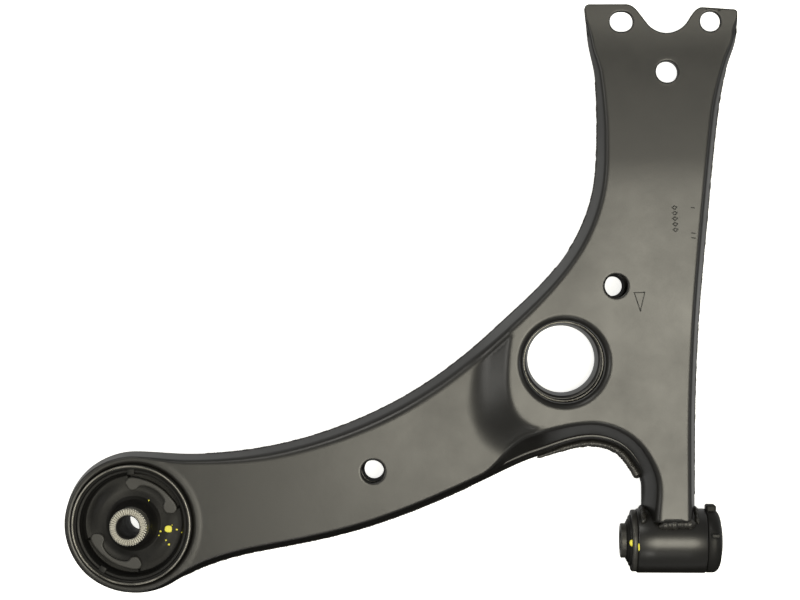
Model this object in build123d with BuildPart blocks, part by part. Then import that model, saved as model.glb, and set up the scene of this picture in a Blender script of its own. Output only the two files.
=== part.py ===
from build123d import *
from math import cos, radians, sin
import os

# Lower control arm, left side. Millimetres.
# Origin: centre of the front pivot bore. +X runs forward along that bore, +Y outboard to the
# ball joint, +Z up. The arm is a box of two pressings: the upper one's skirt goes over the lower.

# ---- driving dimensions ---------------------------------------------------------------------
SHEET = 2.6
FIT = 0.05                      # gap between the nested skirts
LAP = 4.0                       # the skirts overlap from -LAP to +LAP about the seam

TOP = 21.0                      # outer faces of the box, over the body and under it
BOTTOM = -20.0
REAR_TOP = 12.0                 # the same over the shallower rear arm
REAR_BOTTOM = -14.0
TIP_TOP = 16.0                  # upper plate at the ball joint
TIP_SEAM = TIP_TOP - SHEET      # where the two plates meet
TIP_BOTTOM = TIP_SEAM - SHEET
BOLT_FLOOR = 8.0                # underside of the box round the third ball-joint bolt

NECK_END = 13.5                 # where both pressings end, against the pivot tube

BALL_HOLE_R = 6.4
BALL_ROW_Y = 329.3
BALL_REAR_X = -32.5
BALL_FRONT_X = 23.5
BALL_SLOT = 14.6                # end-to-end length of the rear hole, which is a slot along X
THIRD_HOLE = (-3.8, 297.5)
THIRD_HOLE_R = 7.0

BIG_HOLE = (-68.6, 114.4)
BIG_HOLE_R = 25.9               # inside of the upper pressing's turned-in collar
BIG_COLLAR_R = 21.6             # inside of the lower pressing's collar, a cone nested in the upper
BIG_COLLAR_TOP_R = 23.0
TOOL_HOLES = [(-36.1, 162.4), (-189.6, 44.6)]
TOOL_HOLE_TOP_R = 7.7
TOOL_HOLE_BOTTOM_R = 6.5

REAR_X, REAR_Y = -343.0, 10.5   # centre of the rear bush
EYE_R = 45.7
CAN_R = 38.2
CAN_WALL = 1.8
CAN_HALF = 17.0
REAR_CORE_R = 11.75
REAR_BORE_R = 7.15
REAR_CORE_HALF = 29.5

TUBE_R = 20.5
TUBE_WALL = 2.6
TUBE_HALF = 22.0
FRONT_CORE_R = 11.0
FRONT_BORE_R = 7.1
FRONT_CORE_HALF = 32.0

# ---- plan outline of the skirt, anticlockwise: x, y, heading, lean --------------------------
# The heading is the edge's direction in degrees. The lean is how far the wall's top stands in.
FRONT_EDGE = [
    (15.8, NECK_END, 90, 5.5),
    (16.1, 84.0, 89, 5.5),
    (22.1, 190.0, 85, 5.5),
    (28.9, 267.5, 83.5, 4.5),
    (35.9, 304.8, 72.5, 3.0),
    (40.6, 322.5, 90, 2.0),
]
TIP_EDGE = [
    (40.6, 333.0, 90, 0),
    (37.0, 336.9, 176, 0),
    (18.5, 338.2, 176, 0),
    (12.7, 334.8, 232, 0),
    (8.1, 327.9, 232, 0),
    (-4.0, 322.0, 180, 0),
    (-16.1, 327.9, 128, 0),
    (-22.2, 335.9, 128, 0),
    (-29.5, 340.3, 180, 0),
    (-51.0, 340.3, 180, 0),
    (-55.6, 335.5, 276, 0),
]
REAR_EDGE = [
    (-53.1, 315.2, 279, 2.5),
    (-49.0, 295.8, 277, 3.5),
    (-47.4, 258.0, 270, 5.0),
    (-50.2, 221.0, 258, 5.5),
    (-67.1, 182.2, 235.5, 5.5),
    (-113.2, 134.3, 223, 5.5),
    (-180.1, 86.3, 207, 5.0),
    (-244.4, 62.3, 193.5, 4.5),
    (-308.0, 54.6, 180, 3.0),
    (REAR_X, REAR_Y + EYE_R, 180, 1.0),
    (REAR_X - 0.7071 * EYE_R, REAR_Y + 0.7071 * EYE_R, 225, 1.0),
    (REAR_X - EYE_R, REAR_Y, 270, 1.0),
    (REAR_X - 0.7071 * EYE_R, REAR_Y - 0.7071 * EYE_R, 315, 1.0),
    (REAR_X, REAR_Y - EYE_R, 0, 1.0),
    (-318.8, -28.3, 32, 1.6),
    (-293.0, -16.0, 20, 4.5),
    (-258.0, -7.0, 10.5, 4.5),
    (-196.0, 7.0, 17, 5.0),
    (-119.0, 38.0, 25.5, 4.5),
    (-85.0, 53.2, 18, 4.0),
    (-52.0, 61.8, 3, 3.5),
    (-27.5, 51.5, 306, 3.5),
    (-18.4, 34.0, 270, 5.0),
    (-18.4, NECK_END, 270, 5.5),
]
SKIRT = FRONT_EDGE + TIP_EDGE + REAR_EDGE

# The cavity runs out through the tip, so that the lower plate can lie in it there.
OPEN_TIP = [(40.6, 345.0, 90, 2), (30.0, 355.0, 180, 2), (-46.0, 355.0, 180, 2), (-56.0, 345.0, 272, 2)]
CAVITY = FRONT_EDGE + OPEN_TIP + REAR_EDGE

# How much of the lean the wall has at each height: the upper pressing's outside, the lower
# pressing's outside, and the upper pressing's inside.
UPPER_WALL = [(LAP, 0), (15.0, 0.65), (TOP - 1.8, 0.95), (TOP, 1.4)]
LOWER_WALL = [(BOTTOM, 1.4), (BOTTOM + 1.8, 0.95), (-14.5, 0.65), (-LAP, 0)]
INNER_WALL = [(LAP, 0), (15.0 - SHEET, 0.65), (TOP - SHEET - 1.8, 0.95), (TOP - SHEET, 1.4)]

# Slope from the body down to the rear arm: its foot, and its crest, each x, y, heading.
STEP_FOOT = [
    (-112.0, 160.0, 250),
    (-128.0, 104.0, 262),
    (-120.0, 60.5, 310),
    (-98.0, 51.0, 8),
    (-52.0, 65.5, 0),
    (-23.0, 52.0, 300),
    (-16.5, 30.0, 270),
    (-16.0, -70.0, 270),
]
STEP_CREST = [
    (-93.0, 165.0, 255),
    (-102.5, 110.0, 270),
    (-94.0, 81.0, 315),
    (-77.0, 76.5, 0),
    (-50.0, 78.5, 358),
    (-20.5, 62.5, 300),
    (-9.0, 30.0, 270),
    (-8.0, -70.0, 270),
]
STEP_OUTER = [(-430.0, -70.0), (-430.0, 160.0)]


# ---- helpers --------------------------------------------------------------------------------
def heading_vector(heading):
    return Vector(cos(radians(heading)), sin(radians(heading)))


def inset_point(point, inset, lean_share):
    """A point of an outline, moved inwards: its side is the left of its heading."""
    x, y, heading, lean = point
    distance = inset + lean * lean_share
    return Vector(x, y) + heading_vector(heading + 90) * distance


def curve_through(points, headings):
    """Smooth edges from point to point, straight where both headings follow the chord."""
    for start, end, first, last in zip(points, points[1:], headings, headings[1:]):
        chord = (end - start).normalized()
        straight = min(chord.dot(heading_vector(first)), chord.dot(heading_vector(last)))
        if straight > 0.99999:
            Line(start, end)
        else:
            Spline(start, end, tangents=[heading_vector(first), heading_vector(last)])


def outline_face(outline, inset, lean_share, height):
    """The face inside an outline, at a height."""
    points = [inset_point(point, inset, lean_share) for point in outline]
    with BuildSketch(Plane.XY.offset(height)) as face:
        with BuildLine():
            curve_through(points, [point[2] for point in outline])
            Line(points[-1], points[0])
        make_face()
    return face.sketch


def walled_block(outline, inset, levels):
    """Block with leaning walls: a straight-walled slice from each level's outline to the next."""
    faces = [outline_face(outline, inset, share, height) for height, share in levels]
    for lower, upper in zip(faces, faces[1:]):
        loft([lower, upper], ruled=True)


def side_cut(profile):
    """Takes away a prism that runs across the arm, from its y, z profile."""
    with BuildSketch(Plane.YZ.offset(-450)) as face:
        Polygon(*profile, align=None)
    extrude(face.sketch, amount=550, mode=Mode.SUBTRACT)


def step_face(chain, height):
    points = [Vector(x, y) for x, y, _ in chain]
    corners = [Vector(*corner) for corner in STEP_OUTER]
    with BuildSketch(Plane.XY.offset(height)) as face:
        with BuildLine():
            curve_through(points, [heading for _, _, heading in chain])
            Polyline(points[-1], *corners, points[0])
        make_face()
    return face.sketch


def step_cut(foot_height, crest_height, past):
    """Takes away what stands past the rear arm's face, up to the slope."""
    share = (past - foot_height) / (crest_height - foot_height)
    far_edge = [
        (fx + (cx - fx) * share, fy + (cy - fy) * share, heading)
        for (fx, fy, _), (cx, cy, heading) in zip(STEP_FOOT, STEP_CREST)
    ]
    sections = [step_face(STEP_FOOT, foot_height), step_face(far_edge, past)]
    loft(sections, ruled=True, mode=Mode.SUBTRACT)


def above_leg(lower):
    """Profile over the top of the leg, which dips to the ball joint."""
    slope = (TIP_TOP - TOP) / 50.0
    return [
        (235.0 - 20.0, TOP - 20.0 * slope - lower),
        (285.0, TIP_TOP - lower),
        (370.0, TIP_TOP - lower),
        (370.0, 60.0),
        (215.0, 60.0),
    ]


def below_leg(raised):
    """Profile under the leg, which gets shallower to the ball joint."""
    slope = (BOLT_FLOOR - BOTTOM) / 153.0
    return [
        (130.0 - 30.0, BOTTOM - 30.0 * slope + raised),
        (283.0, BOLT_FLOOR + raised),
        (311.0, BOLT_FLOOR + raised),
        (316.0, TIP_BOTTOM + raised),
        (370.0, TIP_BOTTOM + raised),
        (370.0, -60.0),
        (100.0, -60.0),
    ]


SKIRT_EDGE = [
    (130.0, -60.0), (130.0, -LAP - 1.0), (142.0, -LAP), (310.0, 9.2), (370.0, 9.2), (370.0, -60.0),
]
LOWER_EDGE = [
    (-60.0, LAP), (142.0, LAP), (310.0, TIP_SEAM - FIT), (370.0, TIP_SEAM - FIT), (370.0, 60.0), (-60.0, 60.0),
]


def pivot_cut(radius):
    """Takes away the pivot tube's round, along X."""
    with BuildSketch(Plane.YZ.offset(-60)) as face:
        Circle(radius)
    extrude(face.sketch, amount=120, mode=Mode.SUBTRACT)


def round_holes(centres, radius, low, high):
    with BuildSketch(Plane.XY.offset(low)) as face:
        with Locations(*centres):
            Circle(radius)
    extrude(face.sketch, amount=high - low, mode=Mode.SUBTRACT)


def ball_joint_holes():
    round_holes([(BALL_FRONT_X, BALL_ROW_Y)], BALL_HOLE_R, 0, 30)
    round_holes([THIRD_HOLE], THIRD_HOLE_R, 0, 30)
    with BuildSketch(Plane.XY) as face:
        with Locations((BALL_REAR_X, BALL_ROW_Y)):
            SlotOverall(BALL_SLOT, 2 * BALL_HOLE_R)
    extrude(face.sketch, amount=30, mode=Mode.SUBTRACT)


def ring(centre, profile):
    """A turned ring about a vertical axis, from its radius, height profile."""
    x, y = centre
    with BuildSketch(Plane((x, y, 0), x_dir=(1, 0, 0), z_dir=(0, -1, 0))) as face:
        Polygon(*profile, align=None)
    revolve(face.sketch, axis=Axis((x, y, 0), (0, 0, 1)))


def save(name, label):
    os.makedirs("parts", exist_ok=True)
    name.part.label = label
    export_step(name.part, f"parts/{label}.step")


# ---- the two pressings ----------------------------------------------------------------------
with BuildPart() as cavity:
    walled_block(CAVITY, SHEET, LOWER_WALL + INNER_WALL)
    step_cut(REAR_TOP - SHEET, TOP - SHEET, TOP + 4)
    side_cut(above_leg(SHEET))

with BuildPart() as upper_shell:
    walled_block(SKIRT, 0, [(-LAP, 0)] + UPPER_WALL)
    step_cut(REAR_TOP, TOP, TOP + 4)
    side_cut(above_leg(0))
    side_cut(SKIRT_EDGE)
    add(cavity.part, mode=Mode.SUBTRACT)
    round_holes([BIG_HOLE], BIG_HOLE_R + SHEET + 1, 0, 40)
    ring(BIG_HOLE, [
        (BIG_HOLE_R, -2), (BIG_HOLE_R + SHEET, -2), (BIG_HOLE_R + SHEET, TOP - SHEET - 2),
        (BIG_HOLE_R + SHEET + 2, TOP - SHEET), (BIG_HOLE_R + SHEET + 5, TOP - SHEET),
        (BIG_HOLE_R + SHEET + 5, TOP), (BIG_HOLE_R + 4, TOP), (BIG_HOLE_R + 1, TOP - 1.5), (BIG_HOLE_R, TOP - 5),
    ])
    round_holes([(REAR_X, REAR_Y)], CAN_R + SHEET + 0.6, 0, 40)
    ring((REAR_X, REAR_Y), [
        (CAN_R + FIT, 0.5), (CAN_R + FIT + SHEET, 0.5), (CAN_R + FIT + SHEET, REAR_TOP - SHEET),
        (CAN_R + FIT + SHEET + 1.5, REAR_TOP - SHEET), (CAN_R + FIT + SHEET + 1.5, REAR_TOP),
        (CAN_R + 3, REAR_TOP), (CAN_R + 1, REAR_TOP - 1.2), (CAN_R + FIT, REAR_TOP - 4),
    ])
    round_holes(TOOL_HOLES, TOOL_HOLE_TOP_R, 5, 40)
    ball_joint_holes()
    pivot_cut(TUBE_R + 0.02)
save(upper_shell, "upper_shell")

with BuildPart() as lower_cavity:
    raised = [(height + SHEET, share) for height, share in LOWER_WALL[:3]]
    walled_block(CAVITY, 2 * SHEET, raised + [(-LAP, 0), (LAP, 0), (15.0 - SHEET, 0.65), (TOP - SHEET, 1.1)])
    step_cut(REAR_BOTTOM + SHEET, BOTTOM + SHEET, BOTTOM - 4)
    side_cut(below_leg(SHEET))

with BuildPart() as lower_shell:
    walled_block(CAVITY, SHEET + FIT, LOWER_WALL + INNER_WALL[:3])
    step_cut(REAR_BOTTOM, BOTTOM, BOTTOM - 4)
    side_cut(below_leg(0))
    side_cut(LOWER_EDGE)
    extrude(outline_face(SKIRT, 0, 0, -30), amount=60, mode=Mode.INTERSECT)
    add(lower_cavity.part, mode=Mode.SUBTRACT)
    round_holes([BIG_HOLE], BIG_COLLAR_R + SHEET + 1, -40, 30)
    ring(BIG_HOLE, [
        (BIG_COLLAR_TOP_R, 6), (BIG_COLLAR_TOP_R + SHEET, 6), (BIG_COLLAR_R + SHEET, BOTTOM + SHEET + 4),
        (BIG_COLLAR_R + SHEET + 2, BOTTOM + SHEET), (BIG_COLLAR_R + SHEET + 5, BOTTOM + SHEET),
        (BIG_COLLAR_R + SHEET + 5, BOTTOM), (BIG_COLLAR_R + 5, BOTTOM), (BIG_COLLAR_R + 1.5, BOTTOM + 1.5),
        (BIG_COLLAR_R, BOTTOM + 5),
    ])
    round_holes([(REAR_X, REAR_Y)], CAN_R + SHEET + 0.6, -40, 30)
    ring((REAR_X, REAR_Y), [
        (CAN_R + FIT, -0.5), (CAN_R + FIT + SHEET, -0.5), (CAN_R + FIT + SHEET, REAR_BOTTOM + SHEET),
        (CAN_R + FIT + SHEET + 1.5, REAR_BOTTOM + SHEET), (CAN_R + FIT + SHEET + 1.5, REAR_BOTTOM),
        (CAN_R + 3, REAR_BOTTOM), (CAN_R + 1, REAR_BOTTOM + 1.2), (CAN_R + FIT, REAR_BOTTOM + 4),
    ])
    round_holes(TOOL_HOLES, TOOL_HOLE_BOTTOM_R, -40, 0)
    ball_joint_holes()
    pivot_cut(TUBE_R + 0.02)
save(lower_shell, "lower_shell")

with BuildPart() as bolt_spacer:
    ring(THIRD_HOLE, [
        (THIRD_HOLE_R + 0.1, BOLT_FLOOR + SHEET + FIT), (11, BOLT_FLOOR + SHEET + FIT),
        (11, TIP_SEAM - FIT), (THIRD_HOLE_R + 0.1, TIP_SEAM - FIT),
    ])
save(bolt_spacer, "bolt_spacer")


# ---- front bush, along X --------------------------------------------------------------------
def turned(profile):
    """A piece turned about the front pivot, from its x, radius profile."""
    with BuildSketch(Plane.XZ) as face:
        Polygon(*profile, align=None)
    revolve(face.sketch, axis=Axis.X)


CAN_FRONT_R = TUBE_R - TUBE_WALL - FIT
RUBBER_FRONT_R = CAN_FRONT_R - 1.5 - FIT
LIP_END = -TUBE_HALF - 3.6

with BuildPart() as pivot_tube:
    turned([
        (-TUBE_HALF, TUBE_R - TUBE_WALL), (TUBE_HALF, TUBE_R - TUBE_WALL), (TUBE_HALF, TUBE_R - 0.6),
        (TUBE_HALF - 0.6, TUBE_R), (0.6 - TUBE_HALF, TUBE_R), (-TUBE_HALF, TUBE_R - 0.6),
    ])
save(pivot_tube, "pivot_tube")

with BuildPart() as front_outer_sleeve:
    turned([
        (LIP_END, CAN_FRONT_R - 1.5), (TUBE_HALF - 0.4, CAN_FRONT_R - 1.5), (TUBE_HALF - 0.4, CAN_FRONT_R),
        (-TUBE_HALF - FIT, CAN_FRONT_R), (-TUBE_HALF - FIT, TUBE_R - 0.8), (LIP_END + 0.9, TUBE_R - 0.8),
        (LIP_END, TUBE_R - 1.7),
    ])
save(front_outer_sleeve, "front_outer_sleeve")

with BuildPart() as front_bush_rubber:
    turned([
        (LIP_END - 3.2, FRONT_CORE_R + FIT), (TUBE_HALF - FIT, FRONT_CORE_R + FIT),
        (TUBE_HALF - FIT, RUBBER_FRONT_R), (LIP_END - 1.6, RUBBER_FRONT_R), (LIP_END - 2.0, 14.2),
        (LIP_END - 3.0, 13.6),
    ])
save(front_bush_rubber, "front_bush_rubber")

STOP_END = TUBE_HALF + 9.4
STOP_R = 20.2
with BuildPart() as front_stop_flange:
    turned([
        (TUBE_HALF + FIT, FRONT_CORE_R + FIT), (STOP_END - 0.4, FRONT_CORE_R + FIT), (STOP_END, 12.5),
        (STOP_END - 0.9, 16.5), (STOP_END - 2.6, STOP_R - 1.0), (STOP_END - 4.2, STOP_R),
        (TUBE_HALF + FIT, STOP_R),
    ])
    with BuildSketch(Plane.YZ.offset(TUBE_HALF + FIT)) as lug:
        with Locations((STOP_R + 0.6, 0)):
            RectangleRounded(5.0, 12.0, 1.5)
    extrude(lug.sketch, amount=6.0)
    with BuildSketch(Plane.YZ.offset(TUBE_HALF + 3.0)) as notch:
        with Locations((0, STOP_R)):
            Rectangle(4.0, 4.0)
    extrude(notch.sketch, amount=10.0, mode=Mode.SUBTRACT)
save(front_stop_flange, "front_stop_flange")

with BuildPart() as front_inner_sleeve:
    turned([
        (-FRONT_CORE_HALF, FRONT_BORE_R), (FRONT_CORE_HALF, FRONT_BORE_R),
        (FRONT_CORE_HALF, FRONT_CORE_R - 0.5), (FRONT_CORE_HALF - 0.5, FRONT_CORE_R),
        (0.5 - FRONT_CORE_HALF, FRONT_CORE_R), (-FRONT_CORE_HALF, FRONT_CORE_R - 0.5),
    ])
save(front_inner_sleeve, "front_inner_sleeve")


# ---- rear bush, along Z ---------------------------------------------------------------------
REAR = (REAR_X, REAR_Y)
LINING_R = 32.6                 # inside of the rubber lining, at the voids
LINING_OUT_R = CAN_R - CAN_WALL - FIT
WEB_HALF = 4.0                  # the rubber web round the core is thinner than the can
PAD_HALF = 6.5
VOID_MIDDLES = (58, 238)        # the two voids face each other across the core
VOID_SPREAD = 36
VOID_WIDTH = 5.0
VOID_SKIN = 0.75                # half the thickness of the rubber left across each void
BLOCK_ANGLES = (91, 237)


def polar(radius, angle):
    return (REAR_X + radius * cos(radians(angle)), REAR_Y + radius * sin(radians(angle)))


def pad_outline(middle, grow):
    """Bow-shaped stop pad: wide ends, narrow waist, seen from above."""
    side = [(0, 28.4), (20, 28.9), (37, 29.6), (43, 26.0), (38, 21.2), (27, 21.6)]
    inside = (0, 25.2)
    points = []
    for angle, radius in side:
        points.append((angle, radius + (grow if radius > 26 else -grow)))
    points.append((inside[0], inside[1] - grow))
    points += [(-angle, radius) for angle, radius in reversed(points[1:-1])]
    with BuildSketch(Plane.XY.offset(-PAD_HALF)) as face:
        with BuildLine():
            Spline(*[polar(radius, middle + angle) for angle, radius in points], periodic=True)
        make_face()
    return face.sketch


with BuildPart() as rear_outer_sleeve:
    ring(REAR, [
        (CAN_R - CAN_WALL, -CAN_HALF), (CAN_R - 0.4, -CAN_HALF), (CAN_R, 0.6 - CAN_HALF),
        (CAN_R, CAN_HALF - 0.5), (CAN_R - 0.5, CAN_HALF), (CAN_R - CAN_WALL + 0.5, CAN_HALF),
        (CAN_R - CAN_WALL, CAN_HALF - 0.5),
    ])
save(rear_outer_sleeve, "rear_outer_sleeve")

with BuildPart() as rear_bush_rubber:
    half = [
        (REAR_CORE_R + FIT, 17.5), (REAR_CORE_R + 1.8, 13.0), (REAR_CORE_R + 3.2, WEB_HALF + 2.0),
        (REAR_CORE_R + 6.0, WEB_HALF), (LINING_R - 1.4, WEB_HALF), (LINING_R, WEB_HALF + 3.0),
        (LINING_R + 0.3, 12.0), (LINING_R + 1.8, 13.2), (LINING_OUT_R, 15.0),
    ]
    ring(REAR, half + [(radius, -height) for radius, height in reversed(half)])
    for middle in VOID_MIDDLES:
        for side in (1, -1):
            with BuildSketch(Plane.XY.offset(side * VOID_SKIN)) as void:
                with BuildLine() as route:
                    CenterArc(REAR, LINING_R - VOID_WIDTH / 2, middle - VOID_SPREAD, 2 * VOID_SPREAD)
                SlotArc(route.edge(), VOID_WIDTH)
            extrude(void.sketch, amount=side * 20, mode=Mode.SUBTRACT)
        extrude(pad_outline(middle, FIT), amount=2 * PAD_HALF, mode=Mode.SUBTRACT)
    with BuildSketch(Plane.XY.offset(11.0)) as blocks:
        for angle in BLOCK_ANGLES:
            with Locations(Location((*polar(LINING_R + 1.4, angle), 0), (0, 0, angle))):
                Rectangle(4.6, 4.6)
    extrude(blocks.sketch, amount=3.4)
save(rear_bush_rubber, "rear_bush_rubber")

for middle, label in zip(VOID_MIDDLES, ("rear_stop_pad_outboard", "rear_stop_pad_inboard")):
    with BuildPart() as stop_pad:
        extrude(pad_outline(middle, 0), amount=2 * PAD_HALF)
    save(stop_pad, label)

with BuildPart() as rear_inner_sleeve:
    ring(REAR, [
        (REAR_BORE_R, -REAR_CORE_HALF), (REAR_CORE_R - 0.6, -REAR_CORE_HALF),
        (REAR_CORE_R, 0.6 - REAR_CORE_HALF), (REAR_CORE_R, REAR_CORE_HALF - 0.6),
        (REAR_CORE_R - 0.6, REAR_CORE_HALF), (REAR_BORE_R, REAR_CORE_HALF),
    ])
save(rear_inner_sleeve, "rear_inner_sleeve")


# ---- weld beads -----------------------------------------------------------------------------
BEAD_R = 2.0
TUBE_BEAD_R = 3.2
TUBE_BEAD = 23.5                # length of the beads that close the neck on the pivot tube


def bead(stretches, radius):
    """Round beads, one for each stretch of three points on an arc."""
    for stretch in stretches:
        with BuildLine() as route:
            ThreePointArc(*stretch)
        with BuildSketch(Plane(route.line @ 0, z_dir=route.line % 0)) as section:
            Circle(radius)
        sweep(section.sketch, path=route.edge())


def skirt_bottom(y):
    """Height of the upper skirt's lower edge, which climbs along the leg."""
    return max(-LAP, -LAP + (y - 142.0) * (9.2 + LAP) / 168.0)


def skirt_point(start, end, share, out):
    """A point part of the way along one edge of the skirt, moved outwards."""
    first, last = (heading_vector(point[2]) for point in (start, end))
    a, b = (Vector(point[0], point[1]) for point in (start, end))
    chord = (b - a).length
    h00 = 2 * share**3 - 3 * share**2 + 1
    h10 = share**3 - 2 * share**2 + share
    h01 = 3 * share**2 - 2 * share**3
    h11 = share**3 - share**2
    on_edge = a * h00 + first * (h10 * chord) + b * h01 + last * (h11 * chord)
    along = (first * (1 - share) + last * share).normalized()
    moved = on_edge + Vector(along.Y, -along.X) * out
    return Vector(moved.X, moved.Y, skirt_bottom(moved.Y))


def seam_stretches(edge, gap, out):
    """One stretch for each edge of a run of the skirt, with a gap between stretches."""
    for start, end in zip(edge, edge[1:]):
        yield [skirt_point(start, end, share, out) for share in (gap, 0.5, 1 - gap)]


ARCH = REAR_EDGE[19:23]
SEAM_RUNS = {
    "seam_weld_front": ([(15.8, 27.0, 90, 5.5)] + FRONT_EDGE[1:5], 0.08),
    "seam_weld_leg": (REAR_EDGE[1:5], 0.1),
    "seam_weld_inner": (REAR_EDGE[4:9], 0.06),
    "seam_weld_rear": (REAR_EDGE[14:19], 0.06),
}
for label, (edge, gap) in SEAM_RUNS.items():
    with BuildPart() as seam_weld:
        bead(seam_stretches(edge, gap, -1.8), BEAD_R)
    save(seam_weld, label)

with BuildPart() as arch_seam_weld:
    bead(seam_stretches(ARCH, 0, 0.8), 2.5)
save(arch_seam_weld, "arch_seam_weld")

for side, label in ((1, "tube_top_weld"), (-1, "tube_bottom_weld")):
    with BuildPart() as tube_weld:
        with BuildSketch(Plane.YZ.offset(-9.5)) as section:
            with Locations((NECK_END - 1.8, side * (TUBE_R - 2.7))):
                Circle(TUBE_BEAD_R)
        extrude(section.sketch, amount=TUBE_BEAD)
    save(tube_weld, label)

for seam_x, side, label in ((15.8, 1, "tube_front_weld"), (-18.4, -1, "tube_rear_weld")):
    with BuildPart() as tube_weld:
        far_x = seam_x - side * 4.2
        reach = TUBE_R + 0.3
        high = reach * sin(radians(52))
        out = reach * cos(radians(52))
        bead([[(far_x, out, high), (seam_x + side * 0.4, reach, 0), (far_x, out, -high)]], 2.2)
    save(tube_weld, label)
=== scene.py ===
"""Lower control arm: the looks, built round the CAD model. Sizes are millimetres until a mesh is made."""
import math

import bpy
import numpy as np
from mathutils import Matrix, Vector, noise
from mathutils.geometry import delaunay_2d_cdt


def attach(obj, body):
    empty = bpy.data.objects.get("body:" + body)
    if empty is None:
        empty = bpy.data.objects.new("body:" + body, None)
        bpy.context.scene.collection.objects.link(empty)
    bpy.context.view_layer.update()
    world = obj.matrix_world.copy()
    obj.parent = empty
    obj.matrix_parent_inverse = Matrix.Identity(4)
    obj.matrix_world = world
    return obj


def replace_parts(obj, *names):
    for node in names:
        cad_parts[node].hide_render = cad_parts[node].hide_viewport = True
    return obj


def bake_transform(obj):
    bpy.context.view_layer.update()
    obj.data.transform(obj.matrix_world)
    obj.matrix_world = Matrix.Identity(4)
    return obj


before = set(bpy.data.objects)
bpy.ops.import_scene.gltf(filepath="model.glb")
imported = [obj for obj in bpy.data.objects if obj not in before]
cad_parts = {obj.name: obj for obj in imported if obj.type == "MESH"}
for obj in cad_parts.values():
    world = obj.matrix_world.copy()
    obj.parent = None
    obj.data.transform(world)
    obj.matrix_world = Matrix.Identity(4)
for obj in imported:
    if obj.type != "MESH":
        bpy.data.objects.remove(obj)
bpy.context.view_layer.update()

MM = 0.001

# ---- sizes shared with the CAD model, millimetres --------------------------------------------
SHEET = 2.6
LAP = 4.0
TOP, BOTTOM = 21.0, -20.0
REAR_TOP, REAR_BOTTOM = 12.0, -14.0
TIP_TOP = 16.0
TIP_SEAM = TIP_TOP - SHEET
TIP_BOTTOM = TIP_SEAM - SHEET
BOLT_FLOOR = 8.0
NECK_END = 13.5
TUBE_R, TUBE_HALF = 20.5, 22.0
FRONT_CORE_R, FRONT_BORE_R, FRONT_CORE_HALF = 11.0, 7.1, 32.0
REAR = np.array([-343.0, 10.5])
EYE_R, CAN_R, CAN_WALL, CAN_HALF = 45.65, 38.2, 1.8, 17.0
REAR_CORE_R, REAR_BORE_R, REAR_CORE_HALF = 11.75, 7.15, 29.5
BIG_HOLE, BIG_HOLE_R = (-68.6, 114.4), 25.9
TOOL_HOLES = [(-36.1, 162.4), (-189.6, 44.6)]
THIRD_HOLE = (-3.8, 297.5)
BALL_FRONT, BALL_REAR, BALL_R, BALL_SLOT = (23.5, 329.3), (-32.5, 329.3), 6.4, 14.6
EYE_LAND_R, EYE_LAND_RISE = 44.6, 0.12
TIP_START = 322.0

# ---- spacing of the points that carry the shape ----------------------------------------------------
OUTLINE_STEP, COARSE_STEP, FINE_STEP = 1.6, 3.2, 1.3
ROW_SHARE = 0.866

# ---- plan outline of the skirt, anticlockwise --------------------------------------------------
# x, y, heading in degrees, then the wall: lean (how far its top corner stands in), roll (half
# width of the rounded shoulder) and flare (how far its foot turns out).
FRONT_EDGE = [
    (15.8, NECK_END, 90, 4.6, 3.0, 0.2),
    (16.1, 84.0, 89, 5.0, 3.0, 0.2),
    (22.1, 190.0, 85, 5.0, 3.0, 0.2),
    (28.9, 267.5, 83.5, 4.2, 3.0, 0.2),
    (35.9, 304.8, 72.5, 2.8, 2.5, 0.2),
    (40.55, 322.5, 90, 2.0, 2.0, 0.2),
]
TIP_EDGE = [
    (40.55, 334.8, 90, 0.4, 0.6, 0.1),
    (38.5, 336.8, 176, 0.3, 0.5, 0.1),
    (18.5, 338.2, 176, 0.3, 0.5, 0.1),
    (12.7, 334.8, 232, 0.3, 0.5, 0.1),
    (8.1, 327.9, 232, 0.3, 0.5, 0.1),
    (-4.0, 322.0, 180, 0.3, 0.5, 0.1),
    (-16.1, 327.9, 128, 0.3, 0.5, 0.1),
    (-22.2, 335.9, 128, 0.3, 0.5, 0.1),
    (-29.5, 340.25, 180, 0.3, 0.5, 0.1),
    (-53.0, 340.25, 180, 0.3, 0.5, 0.1),
    (-55.8, 337.5, 276, 0.4, 0.6, 0.1),
]
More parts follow.
